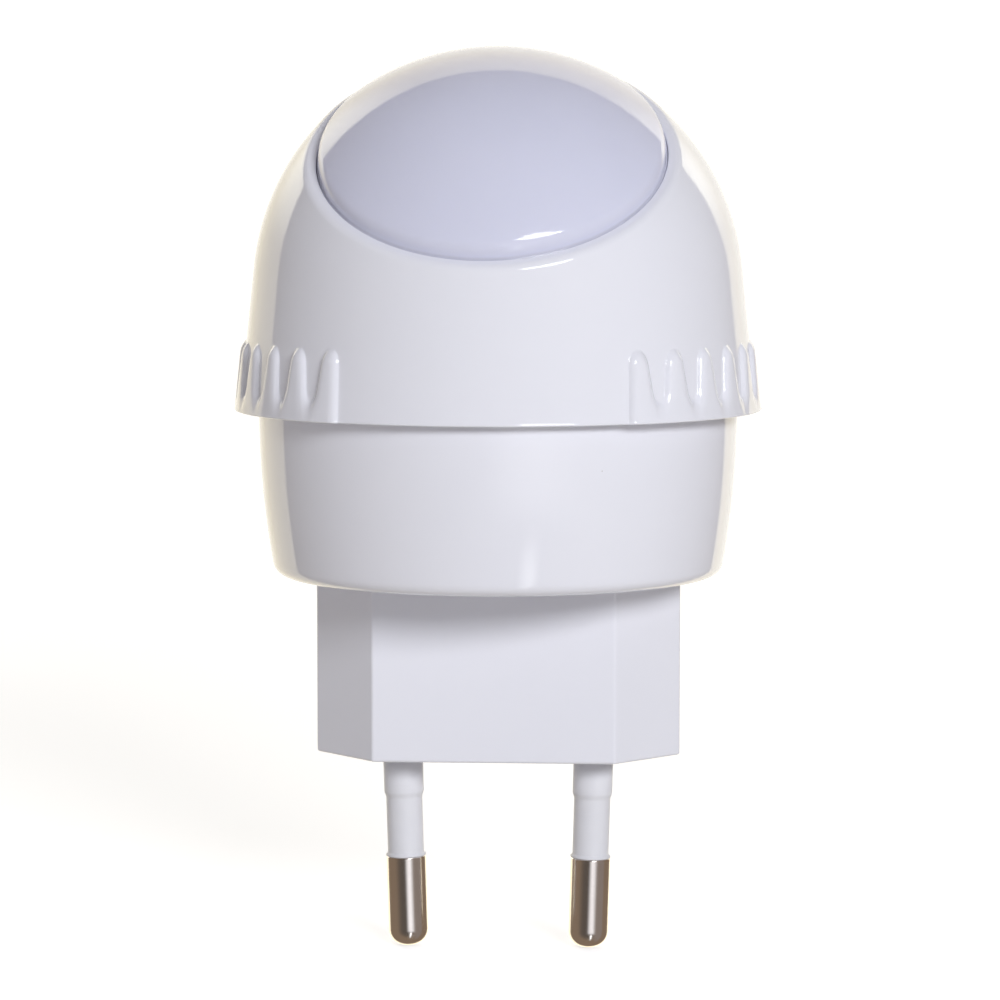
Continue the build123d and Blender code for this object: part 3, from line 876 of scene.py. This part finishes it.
def make_sleeve(name, side):
    section = [(sleeve_bore, -sleeve_end), (sleeve_lip - sleeve_edge, -sleeve_end)]
    section += arc((sleeve_lip - sleeve_edge, -sleeve_end + sleeve_edge), sleeve_edge, -pi / 2, 0, steps=4)
    section += [(sleeve_lip, -sleeve_end + sleeve_lip_flat)]
    section += [(sleeve_radius + sleeve_lip_step, -sleeve_end + sleeve_lip_slope)]
    section += [(sleeve_radius, -sleeve_end + sleeve_lip_end)]
    section += [(sleeve_radius, -collar_length - collar_taper - collar_guard)]
    for share in spread(0, 1, count=9):
        eased = share * share * (3 - 2 * share)
        reach = sleeve_radius + (collar_radius - sleeve_radius) * eased
        section.append((reach, -collar_length - collar_taper * (1 - share)))
    section += [(collar_radius, -collar_length + wide_guard), (collar_radius, sleeve_seat)]
    section += [(sleeve_bore, sleeve_seat)]
    jacket = turned(section, steps=72)
    return finished("pin_jacket_" + name, jacket, "base", "pin_sleeve_" + name, pin_place(side))


def make_window():
    section = [(window_flange_radius, window_seat - window_flange_thickness)]
    section += [(window_flange_radius, window_seat), (window_radius, window_seat)]
    edge_start = window_reach - window_edge
    section += [(window_radius, edge_start - guard)]
    section += arc((window_radius - window_edge, edge_start), window_edge, 0, pi / 2, steps=6)
    section += [(window_radius * 0.5, window_reach), (0, window_reach)]
    placing = Matrix.Translation((0, 0, window_height)) @ Matrix.Rotation(-pi / 2, 4, "X")
    return finished("dusk_window", turned(section, steps=64), "base", "sensor_window", placing)


make_dome()
make_lens()
make_bowl()
make_plug_block()
for name, side in (("left", -1), ("right", 1)):
    make_pin(name, side)
    make_sleeve(name, side)
make_window()

for node, solid in frame["nodes"].items():
    solid.data.materials.clear()
    solid.data.materials.append(finishes[slot_of[node]])


# Studio: floor, world, lights and camera

floor_level = -19.05 * mm
floor_size = 3.0
floor_tone = colour(0.8, 0.785, 0.77)
floor_fill_near = colour(0.585, 0.593, 0.61)
floor_fill_far = colour(0.72, 0.725, 0.735)
near_reach = 0.1
far_reach = 1.2

# What the world shows: to the camera, as a lit backdrop, to matt surfaces and to glossy ones
background_white = colour(1.1, 1.1, 1.1)
sheet_edge = colour(1.45, 1.3, 0.96)
sheet_middle = colour(1.32, 1.27, 1.13)
sheet_corners = colour(2.8, 2.65, 2.2)
room_left_low = colour(0.205, 0.199, 0.213)
room_left_high = colour(0.43, 0.415, 0.41)
room_right = colour(0.125, 0.13, 0.145)
gloss_sides = colour(0.225, 0.163, 0.116)
gloss_front = colour(0.10, 0.082, 0.07)
gloss_right = colour(0.245, 0.2, 0.175)
card_light = colour(1.12, 1.09, 1.11)
strip_light = colour(2.8, 2.8, 2.8)

# Lamps aim at the target; the camera stands where the photograph was taken from
target = Vector((0, 0, 48 * mm))
camera_place = Vector((25.77, -395.45, 60.99)) * mm
camera_pitch = radians(90 - 5.231)
camera_turn = radians(3.702)
camera_lens = 148.0
camera_sensor = 36.0
camera_nearest = 0.01


def stage_sheet(name, width, depth, placing, material):
    bm = bmesh.new()
    bmesh.ops.create_grid(bm, x_segments=1, y_segments=1, size=0.5)
    bmesh.ops.scale(bm, vec=(width, depth, 1), verts=bm.verts)
    bmesh.ops.transform(bm, matrix=placing, verts=bm.verts)
    mesh = bpy.data.meshes.new(name)
    bm.to_mesh(mesh)
    bm.free()
    mesh.materials.append(material)
    sheet = bpy.data.objects.new(name, mesh)
    sheet.visible_glossy = False
    bpy.context.scene.collection.objects.link(sheet)


def floor_finish():
    """Pale floor, white to the camera but for the object's faint shadow, and clear from below."""
    material, finish = new_finish("pale_floor")
    seen = finish.add("LightPath", output="Is Camera Ray")
    matt = finish.add("BsdfDiffuse", inputs={"Color": floor_tone})
    reach = finish.add("VectorMath", {"operation": "LENGTH"}, {0: finish.place()}, output="Value")
    fill = finish.blend(finish.step(reach, near_reach, far_reach), floor_fill_near, floor_fill_far)
    glow = finish.blend(seen, colour(0, 0, 0), fill)
    white = finish.add("Emission", inputs={"Color": glow, "Strength": 1.0})
    lit = finish.add("AddShader", inputs={0: matt, 1: white})
    from_below = finish.add("NewGeometry", output="Backfacing")
    clear = finish.add("BsdfTransparent")
    finish.close(finish.add("MixShader", inputs={0: from_below, 1: lit, 2: clear}))
    return material


def backdrop_mask(finish, x, y, z):
    """Lit sheet behind the object: an ellipse that is cut off on the right."""
    rounded = 1.49 * (x + 0.05) * (x + 0.05) + 1.56 * z * z
    right_limit = 0.82 * y + 0.36 * z - x
    return (y > 0) * finish.step(1.0 - rounded, 0.0, 0.06) * finish.step(right_limit, 0.0, 0.08)


def card_mask(finish, x, y, z):
    """Soft low card in front, right of the middle, which the pins mirror."""
    wide = finish.step(x, -0.12, 0.28) * finish.step(0.75 - x, 0.0, 0.35)
    tall = finish.step(0.06 - z, 0.0, 0.1) * finish.step(z + 0.34, 0.0, 0.12)
    return (y < 0) * wide * tall


def strip_mask(finish, x, y, z):
    """Strip of light low in front, which the bowl's rounded foot mirrors."""
    wide = finish.step(x + 0.22 * y, 0.0, 0.12) * finish.step(-0.5 * y - x, 0.0, 0.12)
    tall = finish.step(0.34 * y - z, 0.0, 0.14) * (z > 1.7 * y)
    return (y < 0) * wide * tall


def light_world():
    """White to the camera, a warm backdrop behind and a dim room, where gloss finds a card and a strip."""
    world = bpy.data.worlds.new("studio")
    bpy.context.scene.world = world
    finish = Finish(world)
    camera_ray = finish.add("LightPath", output="Is Camera Ray")
    clear_ray = finish.add("LightPath", output="Is Transmission Ray")
    glossy_ray = finish.add("LightPath", output="Is Glossy Ray")
    x, y, z = finish.axes(finish.add("TexCoord", output="Generated"))
    aside = finish.add("Math", {"operation": "ABSOLUTE"}, {0: x})
    sheet = finish.blend(finish.step(y, 0.85, 0.99), sheet_edge, sheet_middle)
    corners = finish.step(z, 0.1, 0.35) * finish.step(aside, 0.3, 0.6)
    sheet = finish.blend(corners, sheet, sheet_corners)
    left = finish.blend(finish.step(z, 0.1, 0.7), room_left_low, room_left_high)
    room = finish.blend(0.5 + 0.5 * x, left, room_right)
    mirrored = finish.blend(finish.step(-1.0 * y, 0.4, 0.95), gloss_sides, gloss_front)
    mirrored = finish.blend((y < 0) * finish.step(x, 0.3, 0.7), mirrored, gloss_right)
    mirrored = finish.blend(card_mask(finish, x, y, z), mirrored, card_light)
    mirrored = finish.blend(strip_mask(finish, x, y, z), mirrored, strip_light)
    light = finish.blend(glossy_ray, room, mirrored)
    light = finish.blend(backdrop_mask(finish, x, y, z), light, sheet)
    seen = finish.add("Math", {"operation": "MAXIMUM"}, {0: camera_ray, 1: clear_ray})
    light = finish.blend(seen, light, background_white)
    finish.close(finish.add("Background", inputs={"Color": light, "Strength": 1.0}), "OutputWorld")


def add_softbox(name, azimuth, elevation, distance, width, height, power, mirrored):
    """Lamp aimed at the object, for gloss if mirrored; azimuth 0 is in front, and 90 on the right."""
    light = bpy.data.lights.new(name, "AREA")
    light.shape = "ELLIPSE"
    light.size = width
    light.size_y = height
    light.energy = power
    lamp = bpy.data.objects.new(name, light)
    turn, rise = radians(azimuth), radians(elevation)
    away = Vector((sin(turn) * cos(rise), -cos(turn) * cos(rise), sin(rise)))
    lamp.location = target + away * distance
    lamp.rotation_euler = (-away).to_track_quat("-Z", "Y").to_euler()
    lamp.visible_camera = False
    lamp.visible_diffuse = not mirrored
    lamp.visible_glossy = mirrored
    bpy.context.scene.collection.objects.link(lamp)


def add_camera():
    view = bpy.data.cameras.new("photo_view")
    view.lens = camera_lens
    view.sensor_width = camera_sensor
    view.clip_start = camera_nearest
    camera = bpy.data.objects.new("photo_view", view)
    camera.location = camera_place
    camera.rotation_euler = (camera_pitch, 0, camera_turn)
    bpy.context.scene.collection.objects.link(camera)
    bpy.context.scene.camera = camera


stage_sheet("floor", floor_size, floor_size, Matrix.Translation((0, 0, floor_level)), floor_finish())
light_world()
add_softbox(
    "soft_light", azimuth=26.0, elevation=18.0, distance=1.5,
    width=0.64, height=0.36, power=13.95, mirrored=False,
)
add_softbox(
    "highlight", azimuth=25.2, elevation=20.8, distance=0.7,
    width=0.3, height=0.175, power=1.6, mirrored=True,
)
add_camera()

bpy.context.scene.view_settings.view_transform = "Standard"
